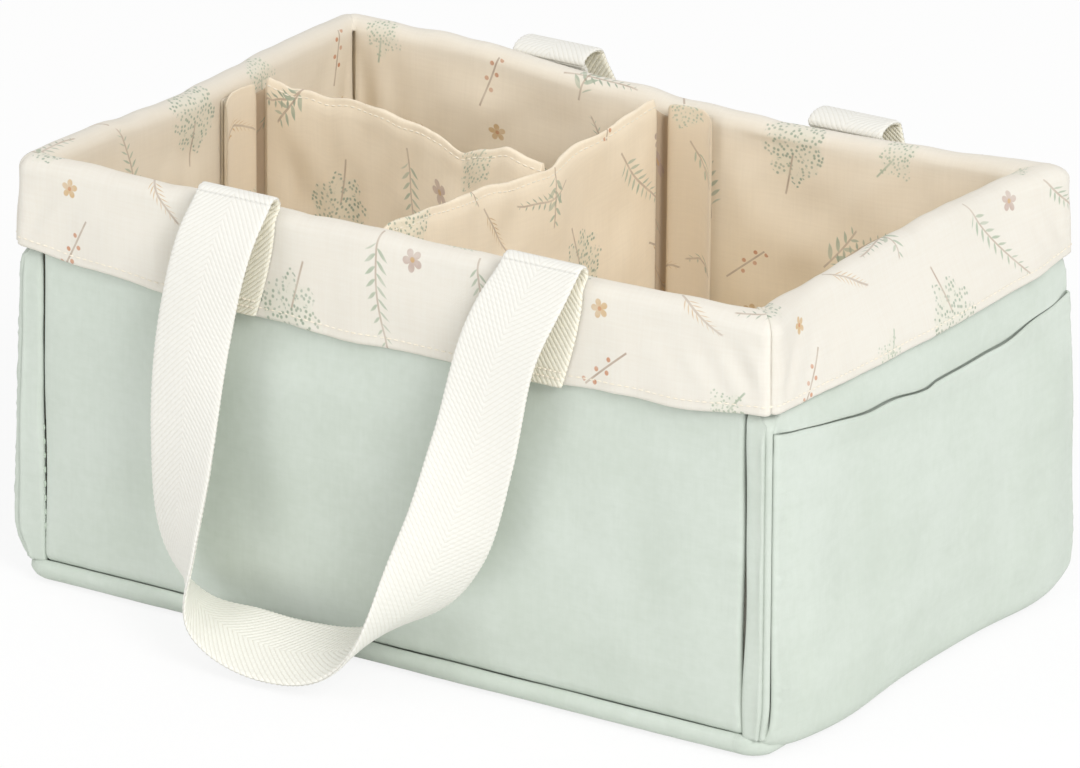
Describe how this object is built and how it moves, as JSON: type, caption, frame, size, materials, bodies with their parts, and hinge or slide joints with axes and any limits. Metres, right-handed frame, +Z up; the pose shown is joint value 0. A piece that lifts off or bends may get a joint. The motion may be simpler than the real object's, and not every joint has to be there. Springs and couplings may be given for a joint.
{
  "type": "diaper caddy",
  "caption": "Soft rectangular nursery caddy with padded walls, a fold-over patterned cuff, end pockets, a lift-out divider and webbing carry handles.",
  "frame": {"origin": "centre of the underside of the base pad, on the floor", "axes": "+X along the length towards the end that shows its pocket, -Y out of the front face that carries the hanging handle, +Z up"},
  "size_m": [0.3638, 0.3222, 0.1857],
  "materials": {
    "outer_cotton": "plain-weave sage green cotton, matt",
    "lining_cotton": "plain-weave cream cotton with a small printed pattern, matt",
    "webbing": "natural herringbone cotton webbing",
    "wall_foam": "soft foam sheet, hidden between the fabrics",
    "stiff_board": "plain stiff board, hidden",
    "hook_and_loop": "hook-and-loop tape"
  },
  "bodies": {
    "caddy": {"base_outer_pad": "outer_cotton", "base_board": "stiff_board", "base_lining": "lining_cotton", "front_outer_panel": "outer_cotton", "back_outer_panel": "outer_cotton", "left_end_outer_panel": "outer_cotton", "right_end_outer_panel": "outer_cotton", "front_left_corner_binding": "outer_cotton", "front_right_corner_binding": "outer_cotton", "back_left_corner_binding": "outer_cotton", "back_right_corner_binding": "outer_cotton", "left_end_pocket": "outer_cotton", "right_end_pocket": "outer_cotton", "front_foam_board": "wall_foam", "back_foam_board": "wall_foam", "left_end_foam_board": "wall_foam", "right_end_foam_board": "wall_foam", "front_lining": "lining_cotton", "back_lining": "lining_cotton", "left_end_lining": "lining_cotton", "right_end_lining": "lining_cotton", "front_loop_tape": "hook_and_loop", "back_loop_tape": "hook_and_loop", "left_end_loop_tape": "hook_and_loop", "front_handle_left_tail": "webbing", "front_handle_right_tail": "webbing", "front_handle_left_fold": "webbing", "front_handle_right_fold": "webbing", "back_handle_left_tail": "webbing", "back_handle_right_tail": "webbing", "back_handle_left_fold": "webbing", "back_handle_right_fold": "webbing"},
    "divider": {"cross_divider": "lining_cotton", "long_divider": "lining_cotton", "front_hook_tape": "hook_and_loop", "back_hook_tape": "hook_and_loop", "left_end_hook_tape": "hook_and_loop"},
    "front_handle": {"front_handle_loop": "webbing"},
    "back_handle": {"back_handle_loop": "webbing"}
  },
  "joints": [
    {"name": "front_handle_swing", "type": "hinge", "parent": "caddy", "child": "front_handle", "pos_m": [0, -0.11769, 0.18124], "axis": [-1, 0, 0], "range_deg": [0, 165], "deforming": ["front_handle_left_fold", "front_handle_right_fold"]},
    {"name": "back_handle_swing", "type": "hinge", "parent": "caddy", "child": "back_handle", "pos_m": [0, 0.11769, 0.18124], "axis": [1, 0, 0], "range_deg": [0, 165], "deforming": ["back_handle_left_fold", "back_handle_right_fold"]},
    {"name": "divider_lift", "type": "slide", "parent": "caddy", "child": "divider", "axis": [0, 0, 1], "range_m": [0, 0.18]}
  ]
}
